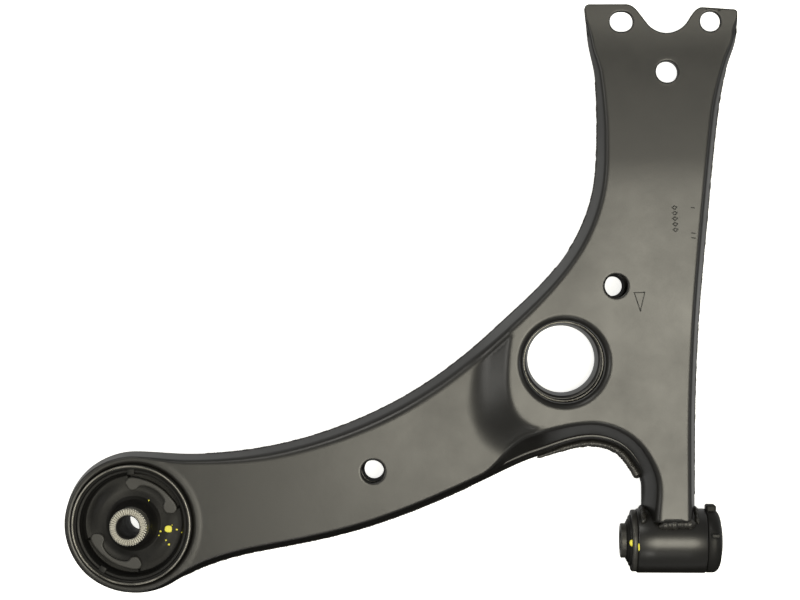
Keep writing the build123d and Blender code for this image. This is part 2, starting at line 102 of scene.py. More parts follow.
REAR_EDGE = [
    (-53.1, 315.2, 279, 2.0, 2.0, 0.2),
    (-49.0, 295.8, 277, 3.2, 2.5, 0.2),
    (-47.4, 258.0, 270, 4.6, 3.0, 0.2),
    (-50.2, 221.0, 258, 5.0, 3.0, 0.2),
    (-67.1, 182.2, 235.5, 5.2, 3.0, 0.2),
    (-113.2, 134.3, 223, 5.5, 4.0, 0.2),
    (-180.1, 86.3, 207, 5.0, 5.0, 0.2),
    (-244.4, 62.3, 193.5, 4.5, 4.5, 0.2),
    (-308.0, 54.6, 180, 3.4, 3.0, 0.2),
    (REAR[0], REAR[1] + EYE_R, 180, 2.4, 1.5, 0.2),
    (REAR[0] - 0.7071 * EYE_R, REAR[1] + 0.7071 * EYE_R, 225, 2.4, 1.5, 0.2),
    (REAR[0] - EYE_R, REAR[1], 270, 2.4, 1.5, 0.2),
    (REAR[0] - 0.7071 * EYE_R, REAR[1] - 0.7071 * EYE_R, 315, 2.4, 1.5, 0.2),
    (REAR[0], REAR[1] - EYE_R, 0, 2.4, 1.5, 0.2),
    (-318.8, -28.3, 32, 2.5, 1.4, 0.2),
    (-293.0, -16.0, 20, 4.2, 1.5, 0.2),
    (-258.0, -7.0, 10.5, 4.5, 1.5, 0.2),
    (-196.0, 7.0, 17, 4.6, 1.5, 0.2),
    (-119.0, 38.0, 25.5, 4.8, 1.6, 0.5),
    (-85.0, 53.2, 18, 15.5, 2.6, 2.0),
    (-52.0, 62.3, 3, 13.4, 2.6, 2.6),
    (-27.5, 52.5, 306, 11.0, 3.0, 2.4),
    (-18.4, 34.0, 270, 9.0, 3.5, 1.0),
    (-18.4, NECK_END, 270, 7.5, 4.0, 0.2),
]
SKIRT = FRONT_EDGE + TIP_EDGE + REAR_EDGE

# Slope from the body down to the rear arm: its foot and its crest, each x, y, heading.
STEP_FOOT = [
    (-160.0, 400.0, 280), (-114.0, 160.0, 252), (-130.0, 92.0, 266), (-120.0, 60.0, 314), (-104.0, 50.0, 340),
    (-60.0, 48.0, 0), (-40.0, 10.0, 280), (-40.0, -70.0, 270),
]
STEP_CREST = [
    (-120.0, 400.0, 277), (-94.0, 165.0, 257), (-102.5, 108.0, 270), (-94.5, 80.5, 316), (-76.0, 73.5, 0),
    (-45.0, 72.0, 352), (-26.0, 59.0, 300), (-15.0, 30.0, 270), (-14.0, -70.0, 270),
]


# ---- plan geometry ---------------------------------------------------------------------------------
def heading_vector(heading):
    return np.array([math.cos(math.radians(heading)), math.sin(math.radians(heading))])


def sample_chain(chain, step):
    """Points, unit directions and eased values along smooth edges through a chain's points."""
    points, directions, values = [], [], []
    for a, b in zip(chain, chain[1:]):
        p, q = np.array(a[:2], float), np.array(b[:2], float)
        first, last = heading_vector(a[2]), heading_vector(b[2])
        chord = np.linalg.norm(q - p)
        count = max(3, int(round(chord / step)))
        u = (np.arange(count) / count)[:, None]
        points.append(
            p * (2 * u**3 - 3 * u**2 + 1) + first * chord * (u**3 - 2 * u**2 + u)
            + q * (3 * u**2 - 2 * u**3) + last * chord * (u**3 - u**2)
        )
        slope = (
            p * (6 * u**2 - 6 * u) + first * chord * (3 * u**2 - 4 * u + 1)
            + q * (6 * u - 6 * u**2) + last * chord * (3 * u**2 - 2 * u)
        )
        directions.append(slope / np.linalg.norm(slope, axis=1)[:, None])
        ease = u * u * (3 - 2 * u)
        values.append(np.array(a[3:], float) * (1 - ease) + np.array(b[3:], float) * ease)
    points.append([chain[-1][:2]])
    directions.append([heading_vector(chain[-1][2])])
    values.append([chain[-1][3:]])
    return np.concatenate(points), np.concatenate(directions), np.concatenate(values)


def signed_distance(xy, line):
    """Distance to a polyline, positive on its left."""
    best = np.full(len(xy), 1e9)
    sign = np.ones(len(xy))
    for a, b in zip(line, line[1:]):
        ab = b - a
        t = np.clip(((xy - a) @ ab) / (ab @ ab), 0, 1)
        off = xy - (a + t[:, None] * ab)
        distance = np.hypot(off[:, 0], off[:, 1])
        nearer = distance < best
        side = ab[0] * off[:, 1] - ab[1] * off[:, 0]
        sign = np.where(nearer, np.where(side >= 0, 1.0, -1.0), sign)
        best = np.minimum(best, distance)
    return best * sign


def rounded_ramp(s, foot, crest):
    """0 to 1, straight in the middle, rounded over a share of the way at its foot and crest."""
    s = np.clip(s, 0, 1)
    k = 1 / (1 - foot / 2 - crest / 2)
    low = k * s * s / (2 * foot)
    high = 1 - k * (1 - s) ** 2 / (2 * crest)
    return np.where(s < foot, low, np.where(s > 1 - crest, high, k * (s - foot / 2)))


FOOT_LINE = sample_chain(STEP_FOOT, 2.5)[0]
CREST_LINE = sample_chain(STEP_CREST, 2.5)[0]


def body_share(xy):
    """1 on the body, 0 on the rear arm, and the slope between them."""
    from_foot = signed_distance(xy, FOOT_LINE)
    from_crest = signed_distance(xy, CREST_LINE)
    share = np.where(from_crest >= 0, 1, from_foot / np.maximum(from_foot - from_crest, 1e-6))
    return rounded_ramp(np.where(from_foot <= 0, 0, share), 0.5, 0.16)


def bend(y, start, end, before, after, ease=0.45):
    """A height that runs straight from one level to another, with eased ends."""
    return before + (after - before) * rounded_ramp((y - start) / (end - start), ease, ease)


def top_height(xy):
    """Height of the upper pressing's flat, with the slightly raised land round the eye."""
    raised = EYE_LAND_RISE * rounded_ramp((EYE_LAND_R - np.hypot(*(xy - REAR).T)) / 1.8, 0.5, 0.5)
    body = bend(xy[:, 1], 222.0, 330.0, TOP, TIP_TOP, 0.2)
    return REAR_TOP + raised + (body - REAR_TOP) * body_share(xy)


def bottom_height(xy):
    """Height of the lower pressing's flat, which climbs to the bolting end."""
    y = xy[:, 1]
    leg = bend(y, 118.0, 288.0, BOTTOM, BOLT_FLOOR)
    leg = leg + (TIP_BOTTOM - BOLT_FLOOR) * rounded_ramp((y - 309) / 8, 0.4, 0.4)
    return REAR_BOTTOM + (leg - REAR_BOTTOM) * body_share(xy)


def skirt_bottom(y):
    """Height of the upper skirt's lower edge, which climbs along the leg."""
    return np.maximum(-LAP, -LAP + (np.minimum(y, 312.0) - 142.0) * (9.2 + LAP) / 170.0)


def lower_edge(y):
    """Height of the lower wall's top edge, hidden in the skirt."""
    return np.minimum(skirt_bottom(y) + 2 * LAP - 2.5, TIP_SEAM - 0.1)


# ---- meshes ----------------------------------------------------------------------------------------
def mesh_piece(name, vertices, faces, material, body, smooth=True):
    """Makes a piece from points in millimetres, and rides it on its body."""
    mesh = bpy.data.meshes.new(name)
    mesh.from_pydata((np.asarray(vertices, float) * MM).tolist(), [], [list(map(int, f)) for f in faces])
    mesh.validate()
    if smooth:
        mesh.shade_smooth()
    piece = bpy.data.objects.new(name, mesh)
    bpy.context.scene.collection.objects.link(piece)
    mesh.materials.append(material)
    if body:
        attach(piece, body)
    return piece


def apply_modifiers(piece):
    """Bakes a piece's modifiers into its mesh."""
    depsgraph = bpy.context.evaluated_depsgraph_get()
    baked = bpy.data.meshes.new_from_object(piece.evaluated_get(depsgraph))
    piece.modifiers.clear()
    piece.data = baked


def strip_quads(count, first, second, closed=True):
    """Quads between two rows of points that start at those indices."""
    last = count if closed else count - 1
    return [(first + i, first + (i + 1) % count, second + (i + 1) % count, second + i) for i in range(last)]


def wall_profile(lean, roll, flare, edge_z, face_z):
    """A wall in section, edge first: rows of (inset, height) arrays, from the foot to the flat."""
    rise = face_z - edge_z
    up = np.sign(rise)
    corner = np.stack([lean, face_z], 1)
    foot = np.stack([flare, edge_z + up * np.minimum(0.35 * flare + 0.8, 0.3 * np.abs(rise))], 1)
    along = corner - foot
    length = np.linalg.norm(along, axis=1)[:, None]
    reach = np.minimum(roll[:, None], 0.8 * length)
    start = corner - along / length * reach
    end = corner + np.stack([roll, np.zeros_like(roll)], 1)
    rows = [np.stack([np.zeros_like(lean), edge_z], 1)]
    rows += [foot * (1 - t) + start * t for t in (0.0, 0.25, 0.5, 0.75)]
    rows += [start * (1 - t) ** 2 + corner * 2 * t * (1 - t) + end * t * t for t in np.linspace(0, 1, 9)]
    rows.append(end + np.stack([0.2 * np.clip(lean, 0.5, 2.0), np.zeros_like(lean)], 1))
    return rows


def circle(centre, radius, count):
    """A circle in plan, as a loop of points."""
    angles = np.arange(count) * 2 * math.pi / count
    return np.array(centre) + radius * np.stack([np.cos(angles), np.sin(angles)], 1)


def slot_loop(centre, half_width, length, count):
    """A round-ended slot along X, as a loop of points."""
    loop = circle((0, 0), half_width, count)
    shift = (length - 2 * half_width) / 2
    loop[:, 0] += np.where(loop[:, 0] >= 0, shift, -shift)
    return loop + np.array(centre)


def inside_loop(xy, loop):
    """Which points lie inside a closed loop."""
    x, y = xy[:, 0], xy[:, 1]
    found = np.zeros(len(xy), bool)
    for (x1, y1), (x2, y2) in zip(loop, np.roll(loop, -1, axis=0)):
        crosses = (y1 > y) != (y2 > y)
        with np.errstate(divide="ignore", invalid="ignore"):
            at = (x2 - x1) * (y - y1) / (y2 - y1) + x1
        found ^= crosses & (x < at)
    return found


def triangle_lattice(low, high, step):
    """Points of a triangular lattice that fills a box."""
    rows = []
    for k, y in enumerate(np.arange(low[1], high[1], step * ROW_SHARE)):
        x = np.arange(low[0] + (k % 2) * step / 2, high[0], step)
        rows.append(np.stack([x, np.full(len(x), y)], 1))
    return np.concatenate(rows)


def needs_detail(xy):
    """Which points lie on the slope beside the centre hole, or at the edge of the eye's land."""
    near_slope = (signed_distance(xy, FOOT_LINE) > -8) & (signed_distance(xy, CREST_LINE) < 4)
    near_slope &= (np.abs(xy[:, 0] + 100) < 50) & (np.abs(xy[:, 1] - 100) < 70)
    return near_slope | (np.abs(np.hypot(*(xy - REAR).T) - (EYE_LAND_R - 1.1)) < 4)


def fill_points(outer):
    """Points to fill the flat: a coarse lattice, and a fine one where the height changes."""
    coarse = triangle_lattice(outer.min(0), outer.max(0), COARSE_STEP)
    fine = triangle_lattice(outer.min(0), outer.max(0), FINE_STEP)
    return np.concatenate([coarse[~needs_detail(coarse)], fine[needs_detail(fine)]])


def clear_of(points, loops, least, batch=4000):
    """The points that stand further off than the least distance from every loop."""
    near = np.full(len(points), 1e9)
    for loop in loops:
        for start in range(0, len(points), batch):
            part = points[start:start + batch]
            gap = np.linalg.norm(part[:, None] - loop[None], axis=2).min(1)
            near[start:start + batch] = np.minimum(near[start:start + batch], gap)
    return points[near > least]


def skirt_rows(inset, edge_height, face_height):
    """The wall round the outline as rows of points, from its free edge to the flat, and whether it climbs."""
    points, directions, values = sample_chain(SKIRT, OUTLINE_STEP)
    normals = np.stack([-directions[:, 1], directions[:, 0]], 1)
    points = points + normals * (inset * np.clip((TIP_START - points[:, 1]) / 8, 0.03, 1))[:, None]
    lean, roll, flare = values.T
    if inset:
        # round the rear bush the inner pressing has only a narrow lip
        past_eye = np.clip((np.hypot(*(points - REAR).T) - 45) / 14, 0, 1)
        lean, roll = lean * (0.38 + 0.62 * past_eye), roll * (0.38 + 0.62 * past_eye)
    face_z = face_height(points + normals * (lean + roll)[:, None])
    edge_z = edge_height(points[:, 1])
    # at the bolting end the wall fades to the edge of the sheet
    tip = np.clip((points[:, 1] - TIP_START - 0.5) / 8, 0, 1)
    tip = np.where((points[:, 1] > TIP_START - 4) & (lean < 1.9), np.maximum(tip, (2.0 - lean) / 1.7), 0)
    climb = np.sign(face_z - edge_z)
    edge_z = edge_z * (1 - tip) + (face_z - climb * 0.35) * tip
    rows = wall_profile(lean, roll, flare, edge_z, face_z)
    return [np.column_stack([points + normals * row[:, :1], row[:, 1]]) for row in rows], climb[0] > 0


def flat_face(outer, loops):
    """Fills the outline round the holes: the flat's points, outline and holes first, and its triangles."""
    fill = fill_points(outer)
    fill = clear_of(fill[inside_loop(fill, outer)], [outer] + loops, 1.0)
    for loop in loops:
        fill = fill[~inside_loop(fill, loop)]
    flat = np.concatenate([outer] + loops + [fill])
    edges, start = [], 0
    for size in map(len, [outer] + loops):
        edges += [(start + i, start + (i + 1) % size) for i in range(size)]
        start += size
    made = delaunay_2d_cdt([Vector(p) for p in flat], edges, [], 0, 1e-7)
    originals = [source[0] if source else None for source in made[3]]
    if None in originals or len(made[0]) != len(flat):
        raise RuntimeError("the face's outline crosses itself")
    triangles = np.array(originals)[np.array(made[2])]
    centres = flat[triangles].mean(1)
    keep = inside_loop(centres, outer)
    for loop in loops:
        keep &= ~inside_loop(centres, loop)
    return flat, triangles[keep]


def pressing(name, inset, edge_height, face_height, holes, material, node):
    """One pressing: a wall round the outline, a filled face with rolled holes, and the sheet's thickness.

    holes is a list of (loop function of radius, profile), the profile being (radius, height off
    the face) pairs, from the flat inwards."""
    rows, climbs = skirt_rows(inset, edge_height, face_height)
    count = len(rows[0])
    vertices, faces = list(rows), []
    for k in range(1, len(rows)):
        faces += strip_quads(count, (k - 1) * count, k * count, closed=False)
    loops = [loop(profile[0][0]) for loop, profile in holes]
    flat, triangles = flat_face(rows[-1][:, :2], loops)
    # the flat's outline is the wall's last row
    base = count * (len(rows) - 1)
    vertices.append(np.column_stack([flat[count:], face_height(flat[count:])]))
    faces += [tuple(base + t) for t in triangles]
    # rolled hole edges
    rim, total = base + count, base + len(flat)
    for (loop, profile), start in zip(holes, loops):
        previous, size = rim, len(start)
        for radius, height in profile[1:]:
            vertices.append(np.column_stack([loop(radius), face_height(start) + height]))
            faces += strip_quads(size, previous, total)
            previous = total
            total += size
        rim += size
    if not climbs:
        faces = [tuple(reversed(face)) for face in faces]
    piece = mesh_piece(name, np.concatenate(vertices), faces, material, None)
    sheet = piece.modifiers.new("sheet", "SOLIDIFY")
    sheet.thickness = SHEET * MM
    sheet.offset = -1
    apply_modifiers(piece)
    piece.data.shade_smooth()
    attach(piece, "arm")
    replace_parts(piece, node)


def round_loop(centre, count):
    """A round hole's loop as a function of its radius."""
    return lambda radius: circle(centre, radius, count)


def punched(radius, depth=0.5):
    """Section of a punched hole's rim: the sheet rolls in a little before it is cut."""
    return [(radius + depth * 2.2, 0), (radius + depth * 1.6, 0), (radius + depth * 0.8, -depth * 0.12),
            (radius + depth * 0.25, -depth * 0.5), (radius, -depth)]


def lathe(name, profile, centre, axis, material, body, count=128):
    """A turned piece: profile is (radius, place along the axis) pairs, axis is X or Z."""
    angles = np.arange(count) * 2 * math.pi / count
    vertices, faces = [], []
    for radius, along in profile:
        a, b = radius * np.cos(angles), radius * np.sin(angles)
        if axis == "Z":
            vertices.append(np.stack([centre[0] + a, centre[1] + b, np.full(count, along)], 1))
        else:
            vertices.append(np.stack([np.full(count, along), a, b], 1))
    rings = len(profile)
    for k in range(rings):
        faces += strip_quads(count, k * count, ((k + 1) % rings) * count)
    return mesh_piece(name, np.concatenate(vertices), faces, material, body)


def turned_node(node, profile, centre, axis, material, body, count=128):
    """A turned piece that takes the place of a CAD node."""
    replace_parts(lathe(f"{node}_skin", profile, centre, axis, material, body, count), node)


def resample(path, step):
    """Points an even step apart along a path."""
    path = np.asarray(path, float)
    lengths = np.concatenate([[0], np.cumsum(np.linalg.norm(np.diff(path, axis=0), axis=1))])
    at = np.linspace(0, lengths[-1], max(3, int(lengths[-1] / step)))
    return np.stack([np.interp(at, lengths, path[:, k]) for k in range(3)], 1), at


RIPPLE_PITCH, BEAD_SIDES = 1.9, 18


def bead(name, path, radii, material, seed=0, ripple=0.1, lumps=0.14, up=(0, 0, 1), node=None):
    """A weld bead along a path: overlapping ripples bowed back at their crown, on lumpy metal."""
    points, at = resample(path, 0.4)
    tangent = np.gradient(points, axis=0)
    tangent /= np.linalg.norm(tangent, axis=1)[:, None]
    side = np.cross(np.array(up, float), tangent)
    side /= np.linalg.norm(side, axis=1)[:, None]
    crown = np.cross(tangent, side)
    angles = np.arange(BEAD_SIDES) * 2 * math.pi / BEAD_SIDES
    length = at[-1]
    radius = np.interp(at, np.linspace(0, length, len(radii)), radii)
    from_end = np.clip(np.minimum(at, length - at) / (0.9 * max(radii)), 0.02, 1)
    end = np.sqrt(from_end * (2 - from_end))
    wander = np.array([noise.noise(Vector((0.25 * s, seed, 3.1))) for s in at])
    phase = (at / RIPPLE_PITCH + 0.6 * wander) % 1
    scale = 1 + ripple * (0.5 - phase) + lumps * wander
    vertices = []
    for k, angle in enumerate(angles):
        grain = np.array([noise.noise(Vector((0.7 * s, seed + 7.0, 1.3 * k / 3))) for s in at])
        reach = radius * end * (scale + 0.06 * grain)
        bow = -0.9 * np.cos(angle)
        ring = (
            points + side * (reach * math.sin(angle))[:, None]
            + crown * (reach * math.cos(angle))[:, None] + tangent * (bow * end)[:, None]
        )
        vertices.append(ring)
    vertices = np.stack(vertices, 1).reshape(-1, 3)
    faces = []
    for i in range(len(points) - 1):
        faces += strip_quads(BEAD_SIDES, i * BEAD_SIDES, (i + 1) * BEAD_SIDES)
    faces.append(tuple(range(BEAD_SIDES - 1, -1, -1)))
    faces.append(tuple((len(points) - 1) * BEAD_SIDES + k for k in range(BEAD_SIDES)))
    faces = [tuple(reversed(face)) for face in faces]
    piece = mesh_piece(name, vertices, faces, material, "arm")
    if node:
        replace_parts(piece, node)
    return piece


def skirt_path(edge, start, end, out, rise=0.0):
    """A path beside the skirt's lower edge, over part of its length, moved outwards."""
    points, directions, _ = sample_chain(edge, 1.5)
    lengths = np.concatenate([[0], np.cumsum(np.linalg.norm(np.diff(points, axis=0), axis=1))])
    keep = (lengths >= start * lengths[-1]) & (lengths <= end * lengths[-1])
    normals = np.stack([-directions[:, 1], directions[:, 0]], 1)
    path = (points - normals * out)[keep]
    return np.column_stack([path, skirt_bottom(path[:, 1]) + rise])


# ---- materials -------------------------------------------------------------------------------------
GRAIN_DEPTH = 0.0004


def finish(name, colour, tint, roughness, grain, bump, patches, metallic=0.0, wear=0.25, specular=0.5):
    """A finish with fine grain, a slow change of roughness, and worn patches in a second colour."""
    material = bpy.data.materials.new(name)
    material.use_nodes = True
    nodes, links = material.node_tree.nodes, material.node_tree.links
    shader = nodes["Principled BSDF"]
    shader.inputs["Metallic"].default_value = metallic
    shader.inputs["Specular IOR Level"].default_value = specular
    coordinates = nodes.new("ShaderNodeTexCoord")
    slow = nodes.new("ShaderNodeTexNoise")
    slow.inputs["Scale"].default_value = patches
    slow.inputs["Detail"].default_value = 6.0
    slow.inputs["Roughness"].default_value = 0.65
    fine = nodes.new("ShaderNodeTexNoise")
    fine.inputs["Scale"].default_value = grain
    fine.inputs["Detail"].default_value = 4.0
    for texture in (slow, fine):
        links.new(coordinates.outputs["Object"], texture.inputs["Vector"])
    colours = nodes.new("ShaderNodeValToRGB")
    for stop, position, shade in zip(colours.color_ramp.elements, (0.35, 0.75), (colour, tint)):
        stop.position = position
        stop.color = (*shade, 1)
    links.new(slow.outputs["Fac"], colours.inputs["Fac"])
    links.new(colours.outputs["Color"], shader.inputs["Base Color"])
    rough = nodes.new("ShaderNodeMapRange")
    rough.inputs["From Min"].default_value = 0.3
    rough.inputs["From Max"].default_value = 0.7
    rough.inputs["To Min"].default_value = roughness * (1 - wear)
    rough.inputs["To Max"].default_value = min(1.0, roughness * (1 + wear))
    links.new(slow.outputs["Fac"], rough.inputs["Value"])
    links.new(rough.outputs["Result"], shader.inputs["Roughness"])
    relief = nodes.new("ShaderNodeBump")
    relief.inputs["Strength"].default_value = bump
    relief.inputs["Distance"].default_value = GRAIN_DEPTH
    links.new(fine.outputs["Fac"], relief.inputs["Height"])
    links.new(relief.outputs["Normal"], shader.inputs["Normal"])
    return material


black_coat = finish("black_coat", (0.006, 0.0058, 0.0052), (0.010, 0.0095, 0.0085), 0.34,
                    grain=260.0, bump=0.05, patches=14.0, wear=0.16)
weld_coat = finish("weld_coat", (0.012, 0.0115, 0.0105), (0.03, 0.028, 0.024), 0.36,
                   grain=900.0, bump=0.6, patches=160.0, wear=0.3)
dark_steel = finish("dark_steel", (0.035, 0.034, 0.031), (0.10, 0.098, 0.09), 0.42,
                    grain=900.0, bump=0.15, patches=70.0, metallic=0.7)
sleeve_steel = finish("sleeve_steel", (0.36, 0.35, 0.315), (0.50, 0.49, 0.45), 0.42,
                      grain=1100.0, bump=0.06, patches=90.0, metallic=0.9)
# lighter metal: the can's rim, and the painted highlight ring on the big hole's collar
rim_metal_and_highlight = finish("rim_metal_and_highlight", (0.10, 0.097, 0.088), (0.30, 0.29, 0.26), 0.3,
                    grain=900.0, bump=0.1, patches=80.0, metallic=0.6)
# near black and dull: painted shade for the inside of the rear inner sleeve's bore
bore_shade_finish = finish("bore_shade_finish", (0.012, 0.0118, 0.011), (0.03, 0.029, 0.027), 0.6,
                    grain=900.0, bump=0.15, patches=70.0, metallic=0.2, specular=0.2)
rubber = finish("bush_rubber", (0.007, 0.007, 0.0066), (0.012, 0.0115, 0.0105), 0.5,
                grain=900.0, bump=0.22, patches=45.0, specular=0.22)
pad_plastic = finish("stop_pad", (0.022, 0.0215, 0.02), (0.034, 0.033, 0.03), 0.5,
                     grain=1200.0, bump=0.12, patches=50.0)
paint = finish("mark_paint", (0.78, 0.70, 0.05), (0.84, 0.80, 0.12), 0.55,
               grain=1500.0, bump=0.4, patches=220.0)

# ---- the two pressings -------------------------------------------------------------------------
TOOL_RIM = [(round_loop(centre, 48), punched(7.1, 1.0)) for centre in TOOL_HOLES]
TIP_RIM = [
    (round_loop(BALL_FRONT, 48), punched(BALL_R)),
    (round_loop(THIRD_HOLE, 48), punched(7.0)),
    (lambda radius: slot_loop(BALL_REAR, radius, BALL_SLOT + 2 * (radius - BALL_R), 56), punched(BALL_R)),
]
ROLL_STEPS = np.radians([90, 78, 66, 54, 42, 30, 18, 8, 0])


def rolled(radius, roll, depth):
    """Section of a hole's rim that rolls down into a collar: the collar's radius, and how deep it goes."""
    curve = [(radius + roll * (1 - math.cos(a)), -roll * (1 - math.sin(a))) for a in ROLL_STEPS]
    straight = [(radius, -roll - share * (depth - roll)) for share in (0.33, 0.66, 1.0)]
    return [(radius + roll + 0.3, 0)] + curve + straight


upper_holes = [
    (round_loop(BIG_HOLE, 128), rolled(BIG_HOLE_R, 4.6, 23.0)),
    (round_loop(REAR, 160), rolled(CAN_R - 0.1, 2.8, 12.0)),
] + TOOL_RIM + TIP_RIM
pressing("upper_pressing", 0.0, skirt_bottom, top_height, upper_holes, black_coat, "upper_shell")

lower_big = [
    (27.4, 0), (26.6, 0), (24.8, -0.3), (23.2, -1.5), (22.0, -3.6), (21.5, -6.5), (22.2, -13.0),
    (23.0, -19.0), (23.6, -25.5),
]
lower_holes = [
    (round_loop((BIG_HOLE[0] - 0.6, BIG_HOLE[1] + 1.1), 128), lower_big),
    (round_loop(REAR, 160), rolled(CAN_R - 0.1, 2.3, 13.5)),
] + [(round_loop(centre, 48), punched(6.2, 1.0)) for centre in TOOL_HOLES] + TIP_RIM
# the lower pressing's face looks down, so its rims roll up
lower_holes = [(loop, [(radius, -height) for radius, height in profile]) for loop, profile in lower_holes]
pressing("lower_pressing", SHEET + 0.1, lower_edge, bottom_height, lower_holes, black_coat, "lower_shell")

# a lighter metal ring round the big hole's collar: a painted highlight on the flange's cut edge
collar_highlight_ring = [(24.4, 7.2), (24.5, 8.0), (24.9, 8.4), (25.4, 8.4), (25.7, 8.0), (25.7, 7.2)]
lathe("collar_painted_highlight", collar_highlight_ring, BIG_HOLE, "Z", rim_metal_and_highlight, "arm")

# ---- front bush ------------------------------------------------------------------------------------
LIP_END = -TUBE_HALF - 3.6
tube_profile = [
    (TUBE_R - 2.6, -TUBE_HALF), (TUBE_R - 0.9, -TUBE_HALF), (TUBE_R - 0.35, 0.2 - TUBE_HALF),
    (TUBE_R, 0.9 - TUBE_HALF), (TUBE_R, -10.0), (TUBE_R, 0.0), (TUBE_R, 10.0), (TUBE_R, TUBE_HALF - 0.9),
    (TUBE_R - 0.35, TUBE_HALF - 0.2), (TUBE_R - 0.9, TUBE_HALF), (TUBE_R - 2.6, TUBE_HALF),
]
turned_node("pivot_tube", tube_profile, (0, 0), "X", black_coat, "arm")
lip_profile = [
    (16.3, TUBE_HALF - 0.4), (16.3, LIP_END + 0.3), (16.6, LIP_END), (TUBE_R - 1.9, LIP_END),
    (TUBE_R - 1.2, LIP_END + 0.3), (TUBE_R - 0.8, LIP_END + 1.0), (TUBE_R - 0.8, -TUBE_HALF - 0.4),
    (TUBE_R - 1.2, -TUBE_HALF - 0.1), (17.8, -TUBE_HALF - 0.1), (17.8, TUBE_HALF - 0.4),
]
turned_node("front_outer_sleeve", lip_profile, (0, 0), "X", dark_steel, "arm")
rings_profile = [
    (FRONT_CORE_R + 0.05, TUBE_HALF - 0.1), (16.2, TUBE_HALF - 0.1), (16.2, LIP_END - 0.9),
    (15.8, LIP_END - 1.3), (14.9, LIP_END - 1.35), (14.5, LIP_END - 1.0), (14.1, LIP_END - 1.0),
    (13.9, LIP_END - 1.9), (13.4, LIP_END - 2.4), (12.5, LIP_END - 2.5), (12.2, LIP_END - 3.0),
    (FRONT_CORE_R + 0.5, LIP_END - 3.2), (FRONT_CORE_R + 0.05, LIP_END - 3.0),
]
turned_node("front_bush_rubber", rings_profile, (0, 0), "X", rubber, "arm")
STOP_END, STOP_R = TUBE_HALF + 9.4, 20.2
DOME_IN, DOME_DEEP = 7.7, 5.2
dome = [
    (STOP_R - DOME_IN * (1 - math.cos(a)), STOP_END - DOME_DEEP * (1 - math.sin(a)))
    for a in np.radians(range(0, 91, 10))
]
stop_profile = [
    (FRONT_CORE_R + 0.05, TUBE_HALF + 0.1), (STOP_R - 0.6, TUBE_HALF + 0.1), (STOP_R, TUBE_HALF + 0.7),
    *dome, (FRONT_CORE_R + 0.6, STOP_END - 0.2), (FRONT_CORE_R + 0.05, STOP_END - 0.7),
]
turned_node("front_stop_flange", stop_profile, (0, 0), "X", rubber, "arm")
core_profile = [
    (FRONT_BORE_R + 0.5, -FRONT_CORE_HALF), (FRONT_CORE_R - 0.5, -FRONT_CORE_HALF),
    (FRONT_CORE_R - 0.1, 0.2 - FRONT_CORE_HALF), (FRONT_CORE_R, 0.6 - FRONT_CORE_HALF), (FRONT_CORE_R, 0.0),
    (FRONT_CORE_R, FRONT_CORE_HALF - 0.6), (FRONT_CORE_R - 0.1, FRONT_CORE_HALF - 0.2),
    (FRONT_CORE_R - 0.5, FRONT_CORE_HALF), (FRONT_BORE_R + 0.5, FRONT_CORE_HALF),
    (FRONT_BORE_R, FRONT_CORE_HALF - 0.5), (FRONT_BORE_R, 0.5 - FRONT_CORE_HALF),
]
turned_node("front_inner_sleeve", core_profile, (0, 0), "X", dark_steel, "front_sleeve")


def rounded_block(name, size, centre, turn, radius, material, body):
    """A block with rounded edges, turned about Z."""
    half = np.array(size) / 2
    vertices = [[x, y, z] for x in (-1, 1) for y in (-1, 1) for z in (-1, 1)]
    vertices = np.array(vertices) * half
    faces = [(0, 1, 3, 2), (4, 6, 7, 5), (0, 4, 5, 1), (2, 3, 7, 6), (0, 2, 6, 4), (1, 5, 7, 3)]
    c, s = math.cos(math.radians(turn)), math.sin(math.radians(turn))
    spin = np.array([[c, -s, 0], [s, c, 0], [0, 0, 1]])
    piece = mesh_piece(name, vertices @ spin.T + np.array(centre), faces, material, None, smooth=False)
    edges = piece.modifiers.new("edges", "BEVEL")
    edges.width = radius * MM
    edges.segments = 4
    apply_modifiers(piece)
    piece.data.shade_smooth()
    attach(piece, body)


rounded_block("front_stop_lug", (6.4, 5.2, 11.6), (TUBE_HALF + 3.3, STOP_R + 0.4, 0), 0, 1.3, rubber, "arm")
rounded_block("front_stop_rib", (5.6, 3.0, 4.4), (TUBE_HALF + 4.6, 5.2, 19.0), 0, 0.8, rubber, "arm")

# ---- rear bush -------------------------------------------------------------------------------------
VOID_MIDDLES, VOID_SPREAD = (58.0, 238.0), 36.0
LINING_R = 32.6
can_profile = [
    (CAN_R - CAN_WALL, -CAN_HALF + 0.4), (CAN_R - CAN_WALL + 0.4, -CAN_HALF), (CAN_R - 0.5, -CAN_HALF),
    (CAN_R, 0.6 - CAN_HALF), (CAN_R, 0.0), (CAN_R, CAN_HALF - 0.7), (CAN_R - 0.2, CAN_HALF - 0.2),
    (CAN_R - 0.7, CAN_HALF), (CAN_R - CAN_WALL + 0.4, CAN_HALF), (CAN_R - CAN_WALL, CAN_HALF - 0.5),
]
turned_node("rear_outer_sleeve", can_profile, REAR, "Z", dark_steel, "arm", count=192)
can_rim = [
    (CAN_R - 1.3, CAN_HALF - 0.4), (CAN_R - 1.2, CAN_HALF + 0.05), (CAN_R - 0.75, CAN_HALF + 0.15),
    (CAN_R - 0.3, CAN_HALF), (CAN_R - 0.2, CAN_HALF - 0.4),
]
lathe("rear_can_rim", can_rim, REAR, "Z", rim_metal_and_highlight, "arm", count=192)


# radius and half thickness of the bonded rubber
WEB_SECTION = [
    (11.8, 17.3), (12.6, 15.5), (13.4, 12.6), (14.4, 8.6), (15.6, 6.0), (17.6, 4.3), (21.0, 3.9), (28.0, 3.9),
    (30.8, 4.1), (32.2, 6.2), (32.7, 11.4), (33.4, 12.9), (34.8, 13.3), (35.5, 14.6), (36.3, 15.0),
]
WEB_IN, WEB_OUT = WEB_SECTION[0][0], WEB_SECTION[-1][0]


